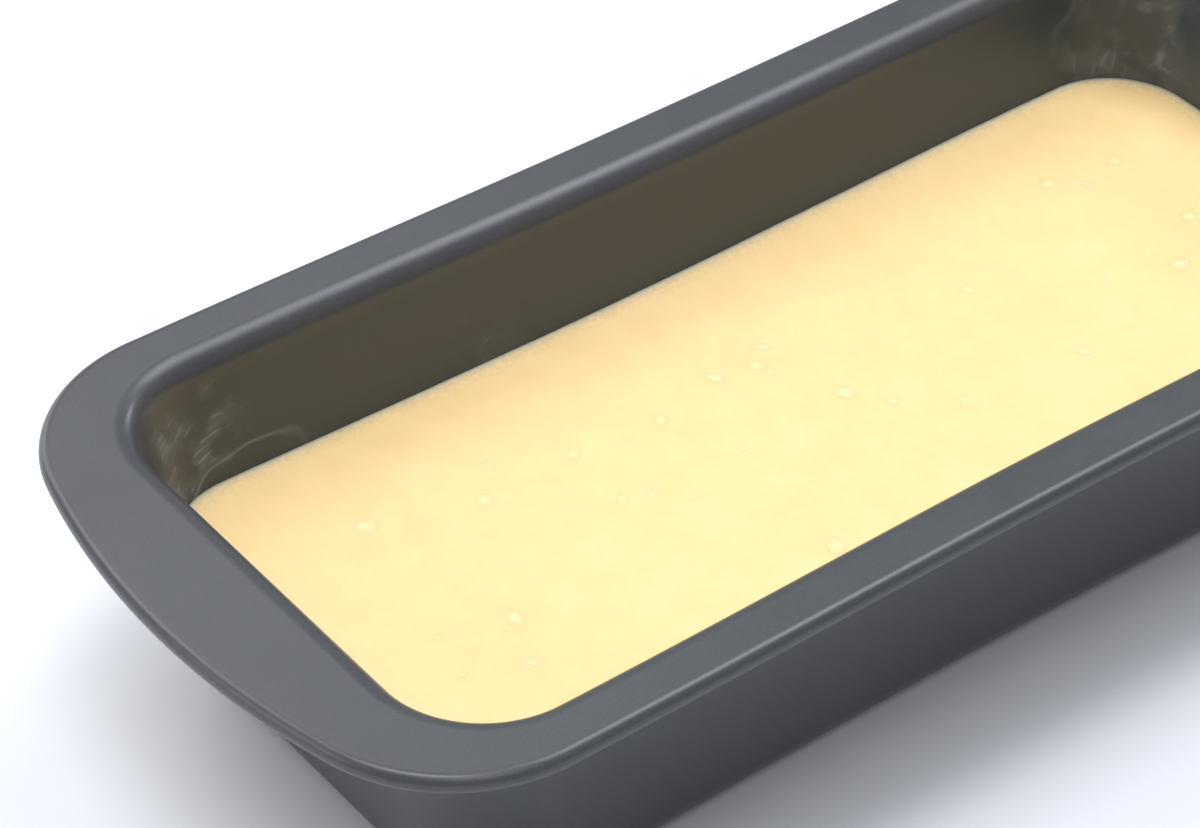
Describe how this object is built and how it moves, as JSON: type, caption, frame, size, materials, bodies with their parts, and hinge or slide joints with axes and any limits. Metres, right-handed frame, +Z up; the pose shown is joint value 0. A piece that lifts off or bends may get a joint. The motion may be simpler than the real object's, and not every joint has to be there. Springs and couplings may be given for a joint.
{
  "type": "sponge cake batter in a loaf tin",
  "caption": "Loaf tin of dark coated sheet steel with bulged end grips and a rolled rim, holding smooth pale sponge cake batter to a little over half its depth.",
  "frame": {"origin": "on the floor under the middle of the tin's flat base", "axes": "+X along the tin's length, +Y across it, +Z up"},
  "size_m": [0.294, 0.1338, 0.058],
  "materials": {
    "coated_steel": "satin dark grey non-stick coating",
    "batter": "smooth moist pale yellow batter"
  },
  "bodies": {
    "root": {"loaf_tin": "coated_steel", "batter": "batter"}
  },
  "joints": []
}
